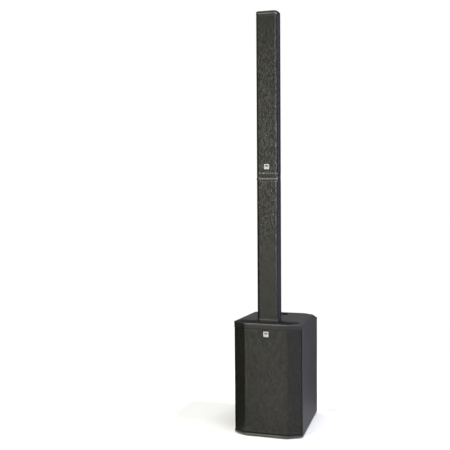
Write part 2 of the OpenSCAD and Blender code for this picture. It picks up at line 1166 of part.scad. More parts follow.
module crossover_board() {
    board_y = col_rear - col_wall - 7;
    color("#1f4d33") {
        block(-35, 35, board_y, board_y + 1.6, horn_z - 210, horn_z - 100);
        for (i = [0:2])
            translate([-20 + i * 20, board_y + 1, horn_z - 130])
                rotate([90, 0, 0])
                    cylinder(h = 14, r = 7);
        facing(0, board_y - 11, horn_z - 175)
            difference() {
                cylinder(h = 12, r = 16);
                translate([0, 0, -1])
                    cylinder(h = 12, r = 8);
            }
    }
}

module column_badge() {
    color(silver)
        badge(col_front - 1.3, joint_z + 53);
}

side_panel_left();
side_panel_right();
top_panel();
bottom_panel();
rear_panel();
baffle_board();
cross_brace();
column_tray();
socket_contacts();
plinth();
cabinet_grille();
grille_foam();
cabinet_badge();
handle_cup();
rubber_feet();
port_tubes();
damping_wadding();
woofer_basket();
woofer_magnet();
woofer_surround();
woofer_spider();
woofer_screws();
amp_plate();
heatsink();
amp_board();
power_supply();
mains_inlet();
signal_jacks();
status_leds();
plate_screws();
wiring_harness();
woofer_cone();
dust_cap();
voice_coil();
channel_1_knob();
channel_2_knob();
sub_knob();
master_knob();
mode_button();
power_switch();
lower_housing();
lower_grille();
lower_top_cap();
lower_bottom_cap();
lower_contacts();
lower_wires();
upper_housing();
upper_grille();
upper_top_cap();
upper_bottom_cap();
upper_contacts();
upper_baffle();
mid_baskets();
mid_magnets();
mid_surrounds();
mid_cones();
horn();
horn_driver();
crossover_board();
column_badge();
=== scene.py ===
"""The column loudspeaker as it looks: perforated grilles, painted boards, caps and a rear plate.

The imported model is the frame. Every size and place below is read from its nodes' boxes.
"""
import json
import math

import bmesh
import bpy
import numpy as np
from mathutils import Matrix, Vector
from mathutils.geometry import convex_hull_2d


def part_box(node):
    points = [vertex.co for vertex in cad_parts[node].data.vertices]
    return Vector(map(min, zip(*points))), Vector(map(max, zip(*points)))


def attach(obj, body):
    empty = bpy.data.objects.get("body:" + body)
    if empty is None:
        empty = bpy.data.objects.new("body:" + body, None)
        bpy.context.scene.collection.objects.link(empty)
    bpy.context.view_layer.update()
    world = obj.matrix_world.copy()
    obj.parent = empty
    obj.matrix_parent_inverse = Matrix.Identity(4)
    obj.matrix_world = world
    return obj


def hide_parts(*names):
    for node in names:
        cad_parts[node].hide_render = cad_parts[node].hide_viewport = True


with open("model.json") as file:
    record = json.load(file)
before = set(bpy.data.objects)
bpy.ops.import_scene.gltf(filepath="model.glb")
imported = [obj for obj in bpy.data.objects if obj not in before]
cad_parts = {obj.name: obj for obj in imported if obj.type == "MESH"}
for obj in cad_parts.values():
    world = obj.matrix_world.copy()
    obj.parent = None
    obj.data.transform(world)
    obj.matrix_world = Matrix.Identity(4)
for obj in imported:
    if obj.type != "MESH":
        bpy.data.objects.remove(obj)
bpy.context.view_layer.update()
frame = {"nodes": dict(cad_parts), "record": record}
MM = 0.001
MERGE = 2e-3 * MM
SHARP = math.radians(28)
BODIES = frame["record"]["behaviour"]["bodies"]
BODY_OF = {node: body for body, nodes in BODIES.items() for node in nodes}
SLOT_OF = {part["node"]: part["material_slot"] for part in frame["record"]["subparts"]}


def span(node):
    """The lowest and highest corner of a CAD node as two arrays."""
    low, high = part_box(node)
    return np.array(low), np.array(high)


def heights(node):
    """The foot and the top of a CAD node."""
    low, high = span(node)
    return low[2], high[2]


def put(name, data):
    """A new object in the scene with that data."""
    made = bpy.data.objects.new(name, data)
    bpy.context.scene.collection.objects.link(made)
    return made


def mesh_of(name, points, faces):
    """A new mesh from points and faces."""
    mesh = bpy.data.meshes.new(name)
    mesh.from_pydata(np.asarray(points).tolist(), [], faces)
    return mesh


# ---- Camera, lights and floor ----

# Camera and lights in metres and radians, in the model's own frame
EYE = Vector((1.117, -4.2944, 1.3478))
YAW, PITCH, ROLL = 0.32013, 0.05675, 0.0076
LENS, SENSOR = 65.2, 36.0
FLOOR_R = 30.0
FLOOR_SIDES = 96
FADE_NEAR, FADE_FAR = 0.7, 3.2
LAMP_REACH = 4.0
GLOW = (0.93, 0.96, 1.0, 1.0)
GLOW_STRENGTH = 0.12
PATCH = 0.12
WARM, COOL, WHITE = (1.0, 0.98, 0.84), (0.86, 0.86, 1.0), (1.0, 1.0, 1.0)


def set_camera():
    """A long lens a little to the right of the front, level with the column's middle."""
    data = bpy.data.cameras.new("studio_camera")
    data.lens, data.sensor_width = LENS, SENSOR
    data.clip_end = 100
    camera = put("studio_camera", data)
    turn = Matrix.Rotation(YAW, 4, "Z") @ Matrix.Rotation(math.pi / 2 - PITCH, 4, "X")
    camera.matrix_world = Matrix.Translation(EYE) @ turn @ Matrix.Rotation(-ROLL, 4, "Z")
    bpy.context.scene.camera = camera


def add_softbox(name, place, aim, size, radiance, colour, spread=180):
    """A rectangular soft light at place facing aim; its power is pi times area times radiance."""
    data = bpy.data.lights.new(name, "AREA")
    data.shape = "RECTANGLE"
    data.size, data.size_y = size
    data.spread = math.radians(spread)
    data.energy, data.color = math.pi * size[0] * size[1] * radiance, colour
    lamp = put(name, data)
    lamp.location = place
    lamp.rotation_euler = (Vector(aim) - Vector(place)).to_track_quat("-Z", "Y").to_euler()
    lamp.visible_camera = False


def add_flag(name, low, high):
    """A thin black card between two corners: it darkens reflections and casts no shadow."""
    flag = put(name, mesh_of(name, *brick(low, high)))
    flag.data.materials.append(FINISH["matt_cover"].material)
    flag.visible_camera = flag.visible_shadow = False


def round_about(turn, height):
    """A lamp's place, turned that many degrees from the front towards the right."""
    angle = math.radians(turn)
    return LAMP_REACH * math.sin(angle), -LAMP_REACH * math.cos(angle), height


def light_world():
    """White as the camera sees it, and a faint cool glow to everything else."""
    world = bpy.data.worlds.new("studio")
    bpy.context.scene.world = world
    world.use_nodes = True
    tree = world.node_tree
    seen, glow = tree.nodes["Background"], tree.nodes.new("ShaderNodeBackground")
    seen.inputs["Color"].default_value = (1, 1, 1, 1)
    seen.inputs["Strength"].default_value = 1.0
    glow.inputs["Color"].default_value = GLOW
    glow.inputs["Strength"].default_value = GLOW_STRENGTH
    rays, pick = tree.nodes.new("ShaderNodeLightPath"), tree.nodes.new("ShaderNodeMixShader")
    tree.links.new(rays.outputs["Is Camera Ray"], pick.inputs["Fac"])
    tree.links.new(glow.outputs[0], pick.inputs[1])
    tree.links.new(seen.outputs[0], pick.inputs[2])
    tree.links.new(pick.outputs[0], tree.nodes["World Output"].inputs["Surface"])


def light_studio():
    """Softboxes all round and above, and black cards to the left and behind on the right.

    The cards keep the left chamfers and the right side panel dark.
    """
    bpy.context.scene.view_settings.view_transform = "Standard"
    light_world()
    middle = (0, 0, 1)
    add_softbox("front_softbox", round_about(-19, 1.45), middle, (1.3, 2.4), 14, WARM)
    add_softbox("right_softbox", round_about(75, 1.6), middle, (0.8, 2.4), 38, COOL)
    add_softbox("side_softbox", round_about(148, 1.2), middle, (1.5, 2.4), 0.42, WHITE)
    add_softbox("rear_softbox", round_about(235, 2.8), middle, (1.2, 1.2), 7, WHITE)
    add_softbox("top_softbox", (0, 0, 4.2), (0, 0, 0), (2.8, 2.8), 9.5, WHITE)
    add_softbox("floor_softbox", (-0.3, -1.35, 3), (-0.3, -1.35, 0), (0.5, 1.2), 11, WARM, 30)
    add_flag("left_flag", (-0.63, -1.3, 0.02), (-0.62, 0.5, 2.5))
    add_flag("left_floor_flag", (-0.62, -1.0, 0.01), (-0.2, 0.3, 0.02))
    add_flag("rear_flag", (0.2, 1.1, 0.02), (1.5, 1.11, 2.3))
    add_flag("rear_floor_flag", (0.2, 0.3, 0.01), (0.9, 1.1, 0.02))


# ---- Finishes ----


class Value:
    """One shader socket. Arithmetic on it adds the Math nodes that work it out."""

    def __init__(self, finish, socket):
        self.finish, self.socket = finish, socket

    def maths(self, operation, a, b=0.0):
        """One Math node; a and b are numbers or sockets."""
        return self.finish.node("Math", {"operation": operation}, {0: a, 1: b})

    def __add__(self, other):
        return self.maths("ADD", self, other)

    def __mul__(self, other):
        return self.maths("MULTIPLY", self, other)

    def __sub__(self, other):
        return self.maths("SUBTRACT", self, other)

    def __rsub__(self, other):
        return self.maths("SUBTRACT", other, self)

    __radd__, __rmul__ = __add__, __mul__


class Finish:
    """A Principled material, with its nodes made by node() and read in object coordinates."""

    def __init__(self, name, **constants):
        self.material = bpy.data.materials.new(name)
        self.material.use_nodes = True
        self.tree = self.material.node_tree
        self.shader = self.tree.nodes["Principled BSDF"]
        self.place = self.node("TexCoord", out="Object")
        for socket, value in constants.items():
            self.shader.inputs[socket.replace("_", " ")].default_value = value

    def node(self, kind, settings=(), sockets=(), out=0):
        """A node of that kind: its settings first, then each socket's value or link."""
        made = self.tree.nodes.new("ShaderNode" + kind)
        for key, value in dict(settings).items():
            setattr(made, key, value)
        for key, value in dict(sockets).items():
            if isinstance(value, Value):
                self.tree.links.new(value.socket, made.inputs[key])
            else:
                made.inputs[key].default_value = value
        return Value(self, made.outputs[out])

    def feed(self, socket, value):
        """Links a value into a socket of the material."""
        self.tree.links.new(value.socket, self.shader.inputs[socket])

    def stretched(self, along):
        """Object coordinates multiplied by along, to draw a pattern out."""
        return self.node("Mapping", {}, {"Vector": self.place, "Scale": along})

    def noise(self, size, detail=2.0, along=None):
        """Soft noise from 0 to 1 whose blobs are about size metres across."""
        vector = self.stretched(along) if along else self.place
        return self.node("TexNoise", {}, {"Vector": vector, "Scale": 1 / size, "Detail": detail})

    def cells(self, size):
        """The distance to the nearest of random points about size metres apart, in cells."""
        return self.node("TexVoronoi", {}, {"Vector": self.place, "Scale": 1 / size})

    def axis(self, name):
        """One coordinate of the object: X, Y or Z."""
        return self.node("SeparateXYZ", {}, {"Vector": self.place}, name)

    def within(self, value, low, high):
        """0 below low, 1 above high and a smooth step between them."""
        settings = {"interpolation_type": "SMOOTHSTEP"}
        return self.node("MapRange", settings, {"Value": value, "From Min": low, "From Max": high})

    def grey(self, value):
        """A value as a grey colour."""
        return self.node("CombineColor", {}, {"Red": value, "Green": value, "Blue": value})

    def mix(self, factor, a, b):
        """Colour a where factor is 0 and b where it is 1."""
        return self.node(
            "Mix", {"data_type": "RGBA"}, {0: factor, 6: opaque(a), 7: opaque(b)}, 2
        )

    def bump(self, height, depth, detail=None):
        """Raises the surface by height times depth metres, on top of a finer bump."""
        sockets = {"Height": height, "Distance": depth, "Strength": 1.0}
        if detail is not None:
            sockets["Normal"] = detail
        return self.node("Bump", {}, sockets)


def opaque(colour):
    """A colour with full cover, if it isn't a socket already."""
    return colour if isinstance(colour, Value) else (*colour, 1.0)


def coated(name, colour, rough, grain, depth, mottle=0.25, **constants):
    """A painted or moulded skin in a slightly patchy tone; grain and depth in millimetres."""
    skin = Finish(name, **constants)
    fine, broad = skin.noise(grain * MM, 3.0), skin.noise(PATCH, 4.0)
    dark = tuple(c * (1 - mottle) for c in colour)
    light = tuple(c * (1 + mottle) for c in colour)
    skin.feed("Base Color", skin.mix(0.6 * broad + 0.4 * fine, dark, light))
    skin.feed("Roughness", rough - 0.08 + 0.1 * fine + 0.08 * broad)
    skin.feed("Normal", skin.bump(fine, depth * MM))
    return skin


def make_cabinet_paint():
    """Sprayed structure paint: round specks over an orange-peel ground, scuffed near the floor."""
    paint = Finish("structure_paint", Specular_IOR_Level=0.45)
    specks = paint.within(paint.cells(2.6 * MM), 0.15, 0.62)
    peel = paint.noise(1.1 * MM, 3.0)
    broad = paint.noise(0.16, 4.0)
    low = 1 - paint.within(paint.axis("Z"), 0.008, 0.05)
    scuffs = low * paint.within(paint.noise(9 * MM, 5.0, (1, 1, 4)), 0.60, 0.68)
    base = paint.mix(0.55 * broad + 0.45 * peel, (0.008, 0.008, 0.009), (0.017, 0.017, 0.018))
    paint.feed("Base Color", paint.mix(scuffs * 0.5, base, (0.10, 0.098, 0.095)))
    paint.feed("Roughness", 0.50 + 0.12 * specks + 0.12 * broad)
    paint.feed("Normal", paint.bump(specks * -0.7 + peel * 0.5, 0.16 * MM))
    return paint


def make_grille_coat():
    """Powder coat on punched steel, faintly olive, with slanting thick and thin flecks."""
    coat = Finish("grille_powder_coat", Specular_IOR_Level=0.28)
    peel = coat.noise(0.7 * MM, 2.0)
    slant = {"Vector": coat.place, "Rotation": (0, 0.7, 0), "Scale": (1, 1, 0.45)}
    slant = coat.node("Mapping", {}, slant)
    flecks = coat.node("TexNoise", {}, {"Vector": slant, "Scale": 1 / (8 * MM), "Detail": 3.0})
    flecks = coat.within(flecks, 0.36, 0.64)
    broad = coat.noise(0.09, 3.0)
    coat.feed("Base Color", coat.mix(flecks, (0.003, 0.003, 0.003), (0.013, 0.013, 0.010)))
    coat.feed("Roughness", 0.57 - 0.15 * flecks - 0.06 * broad)
    coat.feed("Normal", coat.bump(peel, 0.03 * MM))
    return coat


def make_column_metal():
    """Black anodised extrusion: long fine draw lines up the column."""
    metal = Finish("anodised_extrusion", Specular_IOR_Level=0.4)
    lines = metal.noise(1.4 * MM, 3.0, (1, 1, 0.01))
    broad = metal.noise(0.2, 3.0)
    tone = 0.5 * lines + 0.5 * broad
    metal.feed("Base Color", metal.mix(tone, (0.011, 0.012, 0.015), (0.020, 0.021, 0.027)))
    metal.feed("Roughness", 0.46 + 0.12 * lines + 0.06 * broad)
    metal.feed("Normal", metal.bump(lines, 0.02 * MM))
    return metal


def make_brushed(name, colour, rough, along, **constants):
    """Metal brushed along one way: noise drawn out by along."""
    metal = Finish(name, Metallic=0.9, **constants)
    lines, broad = metal.noise(0.5 * MM, 3.0, along), metal.noise(0.02, 3.0)
    dark = tuple(0.85 * c for c in colour)
    metal.feed("Base Color", metal.mix(lines, dark, colour))
    metal.feed("Roughness", rough + 0.15 * lines + 0.06 * broad)
    metal.feed("Normal", metal.bump(lines, 0.01 * MM))
    return metal


def make_foam(name, colour, cell):
    """Open-cell foam: dark pits between pale struts."""
    foam = Finish(name, Roughness=0.95, Specular_IOR_Level=0.1)
    pits = foam.within(foam.cells(cell), 0.1, 0.75)
    foam.feed("Base Color", foam.mix(pits, tuple(0.4 * c for c in colour), colour))
    foam.feed("Normal", foam.bump(pits, 0.5 * cell))
    return foam


def make_plywood():
    """Birch ply: thin layers of alternating grain, with long streaks along the board."""
    ply = Finish("bare_plywood", Specular_IOR_Level=0.3)
    across = ply.node("Math", {"operation": "PINGPONG"}, {0: ply.axis("Y"), 1: 1.5 * MM})
    layers = ply.within(across, 0.5 * MM, 1 * MM)
    streaks = ply.noise(3 * MM, 4.0, (1, 1, 0.06))
    tone = 0.35 * layers + 0.65 * streaks
    ply.feed("Base Color", ply.mix(tone, (0.20, 0.13, 0.07), (0.46, 0.33, 0.20)))
    ply.feed("Roughness", 0.6 + 0.25 * streaks)
    ply.feed("Normal", ply.bump(streaks, 0.15 * MM))
    return ply


def make_cone_paper():
    """Pulped paper, coated black, with random short fibres."""
    paper = Finish("coated_paper", Specular_IOR_Level=0.3)
    fibres = paper.noise(1.2 * MM, 5.0, (1, 3, 1))
    paper.feed("Base Color", paper.mix(fibres, (0.012, 0.012, 0.012), (0.05, 0.048, 0.045)))
    paper.feed("Roughness", 0.6 + 0.2 * fibres)
    paper.feed("Normal", paper.bump(fibres, 0.08 * MM))
    return paper


def make_cloth(name, colour, thread):
    """Woven cloth: crossed waves one thread apart."""
    cloth = Finish(name, Roughness=0.9, Sheen_Weight=0.2)
    turn = math.pi / thread
    warp = cloth.node("Math", {"operation": "SINE"}, {0: cloth.axis("X") * turn})
    weft = cloth.node("Math", {"operation": "SINE"}, {0: cloth.axis("Z") * turn})
    weave = 0.5 + 0.25 * warp + 0.25 * weft
    tone = 0.6 * weave + 0.4 * cloth.noise(6 * MM)
    cloth.feed("Base Color", cloth.mix(tone, tuple(0.5 * c for c in colour), colour))
    cloth.feed("Normal", cloth.bump(weave, 0.3 * thread))
    return cloth


def make_circuit_board():
    """Green lacquer over copper tracks: square-ish cells with thin dark gaps."""
    board = Finish("circuit_board", Roughness=0.35, Specular_IOR_Level=0.5)
    settings = {"feature": "F1", "distance": "CHEBYCHEV"}
    tracks = board.node("TexVoronoi", settings, {"Vector": board.place, "Scale": 180.0})
    pads = board.within(tracks, 0.25, 0.32)
    board.feed("Base Color", board.mix(pads, (0.05, 0.20, 0.09), (0.015, 0.075, 0.035)))
    board.feed("Normal", board.bump(pads, 0.05 * MM))
    return board


def make_lens():
    """A lit indicator lens: clear green with a soft glow."""
    lens = Finish("indicator_lens", Roughness=0.12, Emission_Strength=0.6)
    swirl = lens.noise(2 * MM)
    lens.feed("Base Color", lens.mix(swirl, (0.02, 0.35, 0.05), (0.05, 0.55, 0.10)))
    lens.feed("Emission Color", lens.mix(swirl, (0.05, 0.6, 0.1), (0.1, 0.9, 0.2)))
    return lens


def make_finishes():
    """Every material slot of the record with its finish."""
    dull, satin, shiny = ({"Specular_IOR_Level": level} for level in (0.1, 0.26, 0.6))
    moulding = coated("black_moulding", (0.007,) * 3, 0.56, 0.8, 0.06, 0.2, **satin)
    bead = coated("satin_moulding", (0.014,) * 3, 0.40, 0.8, 0.02, 0.15, **shiny)
    cover = coated("matt_cover", (0.006, 0.006, 0.007), 0.74, 0.5, 0.05, 0.3, **dull)
    silver = coated(
        "satin_silver", (0.36, 0.365, 0.37), 0.46, 0.5, 0.01, 0.06, Specular_IOR_Level=0.3
    )
    iron = coated("phosphated_iron", (0.17, 0.17, 0.175), 0.5, 1.2, 0.04, Metallic=0.6)
    return {
        "black_paint": make_cabinet_paint(),
        "bare_board": make_plywood(),
        "black_moulding": moulding,
        "satin_moulding": bead,
        "matt_cover": cover,
        "grille_steel": make_grille_coat(),
        "backing_foam": make_foam("acoustic_foam", (0.020, 0.020, 0.018), 1.2 * MM),
        "silver_plate": silver,
        "black_rubber": coated("black_rubber", (0.022,) * 3, 0.72, 0.5, 0.04, 0.3),
        "grey_wadding": make_foam("polyester_wadding", (0.55, 0.55, 0.52), 4 * MM),
        "pressed_frame": coated("frame_enamel", (0.018, 0.018, 0.019), 0.4, 1.0, 0.03),
        "magnet_iron": iron,
        "cone_paper": make_cone_paper(),
        "spider_cloth": make_cloth("spider_cloth", (0.62, 0.46, 0.24), 1.2 * MM),
        "copper_coil": make_brushed("enamelled_copper", (0.72, 0.33, 0.13), 0.25, (1, 8, 1)),
        "black_screws": make_brushed("black_zinc", (0.16, 0.16, 0.165), 0.3, (1, 1, 1)),
        "rear_plate": coated("plate_powder_coat", (0.020, 0.021, 0.022), 0.5, 0.9, 0.07),
        "heatsink_black": make_brushed("black_anodising", (0.045, 0.046, 0.050), 0.38, (1, 1, 0.05)),
        "circuit_board": make_circuit_board(),
        "socket_plastic": coated("black_nylon", (0.022, 0.022, 0.023), 0.3, 0.5, 0.02),
        "lamp_lens": make_lens(),
        "knob_plastic": coated("soft_touch", (0.028, 0.029, 0.030), 0.62, 0.4, 0.03),
        "button_grey": coated("grey_cap", (0.42, 0.43, 0.44), 0.4, 0.5, 0.02, 0.08),
        "rocker_red": coated("red_rocker", (0.42, 0.025, 0.02), 0.22, 0.6, 0.01, 0.1),
        "contact_gold": make_brushed("gold_contact", (0.95, 0.68, 0.28), 0.2, (1, 1, 1)),
        "column_aluminium": make_column_metal(),
        "wire_sleeve": coated("wire_sleeve", (0.20, 0.02, 0.02), 0.45, 0.8, 0.02),
    }


FINISH = make_finishes()


def make_floor_finish():
    """A pale matt sweep that fades to white away from the object."""
    pale = Finish("pale_sweep", Roughness=0.95, Emission_Strength=1.0)
    reach = pale.node("VectorMath", {"operation": "LENGTH"}, {0: pale.place}, "Value")
    far = pale.within(reach, FADE_NEAR, FADE_FAR)
    tone = (0.80 + 0.05 * pale.noise(0.8)) * (1 - far)
    pale.feed("Base Color", pale.grey(tone))
    pale.feed("Emission Color", pale.grey(far))
    return pale.material


def lay_floor():
    """A round pale floor, far wider than the object."""
    turns = np.linspace(0, 2 * math.pi, FLOOR_SIDES, endpoint=False)
    rim = np.stack([FLOOR_R * np.cos(turns), FLOOR_R * np.sin(turns), 0 * turns], 1)
    floor = put("floor", mesh_of("floor", rim, [list(range(FLOOR_SIDES))]))
    floor.data.materials.append(make_floor_finish())


# ---- Making pieces ----


def add_piece(name, shape, body, slot, replaced=(), smooth=None, finish=None):
    """Puts a shape (points in metres, faces) on a body, in a slot's finish or one close to it."""
    piece = put(name, mesh_of(name, *shape))
    finish_piece(piece, body, slot, replaced, finish)
    tidy_mesh(piece, smooth)
    return piece


def add_dull(name, shape, body, smooth=None):
    """A piece in the moulding slot with the dull dark finish: mostly painted shade, dark bands,
    rings and collars laid where a gap or recess is in shade.
    """
    return add_piece(name, shape, body, "black_moulding", (), smooth, "matt_cover")


def finish_piece(piece, body, slot, replaced=(), finish=None):
    """Gives a piece its material, its body, its slot and the CAD nodes it stands for."""
    piece.data.materials.clear()
    piece.data.materials.append(FINISH[finish or slot].material)
    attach(piece, body)
    if replaced:
        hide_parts(*replaced)


def tidy_mesh(piece, smooth=None):
    """Merges doubled points, turns faces outwards, and smooths edges flatter than smooth degrees."""
    mesh = bmesh.new()
    mesh.from_mesh(piece.data)
    bmesh.ops.remove_doubles(mesh, verts=mesh.verts, dist=1e-3 * MM)
    bmesh.ops.recalc_face_normals(mesh, faces=mesh.faces)
    if smooth is not None:
        smooth_under(mesh, smooth)
    mesh.to_mesh(piece.data)
    mesh.free()


def smooth_under(mesh, degrees):
    """Shades faces smooth, with a sharp edge wherever two of them meet at more than degrees."""
    limit = math.radians(degrees)
    for face in mesh.faces:
        face.smooth = True
    for edge in mesh.edges:
        edge.smooth = len(edge.link_faces) == 2 and edge.calc_face_angle(0) < limit


def joined(parts):
    """Several shapes as one: their points stacked and their face numbers moved on."""
    points, faces, count = [], [], 0
    for some_points, some_faces in parts:
        points.append(np.asarray(some_points, float))
        faces += [[int(i) + count for i in face] for face in some_faces]
        count += len(some_points)
    return np.concatenate(points), faces


def grid_faces(rows, columns, wrap_rows=False):
    """Quads between neighbouring points of a grid whose columns, and rows if asked, close up."""
    r = np.arange(rows if wrap_rows else rows - 1)[:, None]
    c = np.arange(columns)[None, :]
    a, b = r * columns + c, r * columns + (c + 1) % columns
    d, e = (r + 1) % rows * columns + c, (r + 1) % rows * columns + (c + 1) % columns
    return np.stack([a, b, e, d], -1).reshape(-1, 4).tolist()


def rounded(corners, radius, steps=5):
    """A closed outline through corners, each turned by an arc of that radius.

    An arc is tangent to both sides: it starts radius times the tangent of half the turn before
    its corner, and sweeps at an even rate about a centre on the corner's bisector.
    """
    corners, out = np.asarray(corners, float), []
    for i, corner in enumerate(corners):
        back, on = corners[i - 1] - corner, corners[(i + 1) % len(corners)] - corner
        back, on = back / np.linalg.norm(back), on / np.linalg.norm(on)
        turn = math.pi - math.acos(float(np.clip(back @ on, -1, 1)))
        reach = radius * math.tan(turn / 2)
        centre = corner + (back + on) / np.linalg.norm(back + on) * radius / math.cos(turn / 2)
        start, end = corner + back * reach - centre, corner + on * reach - centre
        share = np.linspace(0, 1, steps)[:, None]
        arc = (np.sin((1 - share) * turn) * start + np.sin(share * turn) * end) / math.sin(turn)
        out.append(centre + arc)
    return np.concatenate(out)


def inset(corners, distance):
    """A closed outline moved inwards: each corner slides along its two sides' shared bisector."""
    corners = np.asarray(corners, float)
    ahead = np.roll(corners, -1, 0) - corners
    ahead /= np.linalg.norm(ahead, axis=1)[:, None]
    normal = np.stack([-ahead[:, 1], ahead[:, 0]], 1)
    before = np.roll(normal, 1, 0)
    shared = (normal + before) / (1 + (normal * before).sum(1))[:, None]
    return corners + shared * distance


def turned(profile, centre, steps=48, flutes=0, flute=0.0, fluted=()):
    """A solid of revolution about the front-to-back line through centre.

    profile lists (radius, depth) and starts and ends on the axis. At the rows named in fluted the
    radius is cut by flute times half of one plus the cosine of flutes times the angle.
    """
    profile = np.asarray(profile, float)
    turns = np.linspace(0, 2 * math.pi, steps, endpoint=False)
    cut = np.zeros(len(profile))
    cut[list(fluted)] = flute
    wave = 0.5 * (1 + np.cos(flutes * turns))
    r = profile[:, :1] - cut[:, None] * wave
    along = profile[:, 1:] + 0 * turns
    points = np.stack([r * np.sin(turns), along, r * np.cos(turns)], -1).reshape(-1, 3)
    return points + np.asarray(centre, float), grid_faces(len(profile), steps)


def brick(low, high):
    """A plain box between two corners, for small printed marks."""
    (x0, y0, z0), (x1, y1, z1) = low, high
    ring = [[x0, y0], [x1, y0], [x1, y1], [x0, y1]]
    points = np.array([[*p, z] for z in (z0, z1) for p in ring])
    return points, grid_faces(2, 4) + [[3, 2, 1, 0], [4, 5, 6, 7]]


def islands(node):
    """The box of each separate solid in a CAD node, from left to right and then upwards.

    Points that share a face take the lower of their labels again and again until none changes.
    """
    mesh = frame["nodes"][node].data
    points = np.zeros(len(mesh.vertices) * 3)
    mesh.vertices.foreach_get("co", points)
    points = points.reshape(-1, 3)
    mesh.calc_loop_triangles()
    faces = np.zeros(len(mesh.loop_triangles) * 3, int)
    mesh.loop_triangles.foreach_get("vertices", faces)
    spots = np.round(points / (2e-3 * MM)).astype(int) // 5
    spots, where = np.unique(spots, axis=0, return_inverse=True)
    faces = where.ravel()[faces].reshape(-1, 3)
    label = np.arange(len(spots))
    while True:
        lowest = label[faces].min(1)
        moved = label.copy()
        np.minimum.at(moved, faces.ravel(), np.repeat(lowest, 3))
        if (moved == label).all():
            break
        label = moved
    owner = label[where.ravel()]
    boxes = [(points[owner == k].min(0), points[owner == k].max(0)) for k in np.unique(owner)]
    return sorted(boxes, key=lambda b: (round(b[0][0], 3), round(b[0][2], 3)))


def plan_corners(node, height):
    """The outer corners of a CAD node's plan at a height, anticlockwise."""
    mesh = frame["nodes"][node].data
    level = {
        (round(v.co.x, 5), round(v.co.y, 5))
        for v in mesh.vertices
        if abs(v.co.z - height) < 0.05 * MM
    }
    level = sorted(level)
    hull = [level[i] for i in convex_hull_2d([Vector(p) for p in level])]
    hull = np.array(hull)
    area = np.cross(hull, np.roll(hull, -1, 0)).sum()
    return hull if area > 0 else hull[::-1]


def merged(node):
    """A CAD node's mesh, copied, with its doubled points merged."""
    mesh = bmesh.new()
    mesh.from_mesh(frame["nodes"][node].data)
    bmesh.ops.remove_doubles(mesh, verts=mesh.verts, dist=MERGE)
    return mesh


def stand_in(node, mesh, slot=None, finish=None):
    """Puts a worked copy of a CAD node in the node's place."""
    data = bpy.data.meshes.new(node + "_finished")
    mesh.to_mesh(data)
    mesh.free()
    piece = put(node + "_finished", data)
    finish_piece(piece, BODY_OF[node], slot or SLOT_OF[node], [node], finish)


def softened(node, width, plain=None, segments=3, slot=None, finish=None):
    """A copy of a CAD node with its edges rounded by width.

    plain takes a face's normal and says whether that face meets another board, so its edges
    stay sharp.
    """
    mesh = merged(node)
    flat = math.radians(0.4)
    bmesh.ops.dissolve_limit(mesh, angle_limit=flat, verts=mesh.verts, edges=mesh.edges)
    kept = {f for f in mesh.faces if plain and plain(f.normal)}
    chosen = [
        e for e in mesh.edges
        if len(e.link_faces) == 2
        and e.calc_face_angle(0) > SHARP
        and not kept.intersection(e.link_faces)
    ]
    made = bmesh.ops.bevel(
        mesh, geom=chosen, offset=width, offset_type="OFFSET", segments=segments,
        profile=0.5, affect="EDGES", clamp_overlap=True,
    )
    for face in made["faces"]:
        face.smooth = True
    stand_in(node, mesh, slot, finish)


def smoothed(node):
    """A copy of a CAD node with its round faces shaded smooth."""
    mesh = merged(node)
    smooth_under(mesh, 32)
    stand_in(node, mesh)


# ---- Perforated grilles ----


def bent_line(corners, radius):
    """An open line through corners, with each bend turned by an arc of that radius."""
    loop = rounded(corners, radius, 5)
    return np.concatenate([corners[:1], loop[5:-5], corners[-1:]])


def run_along(line):
    """The distance along a line to each of its points."""
    return np.concatenate([[0], np.cumsum(np.linalg.norm(np.diff(line, axis=0), axis=1))])


def on_sheet(line, across, height, depth):
    """Points of a bent sheet: across along the line, at a height, depth behind its face."""
    run = run_along(line)
    slope = np.gradient(line, run, axis=0)
    behind = np.stack([-slope[:, 1], slope[:, 0]], 1) / np.linalg.norm(slope, axis=1)[:, None]
    x, y = (
        np.interp(across, run, line[:, k]) + depth * np.interp(across, run, behind[:, k])
        for k in (0, 1)
    )
    return np.stack([x, y, height + 0 * across], -1)


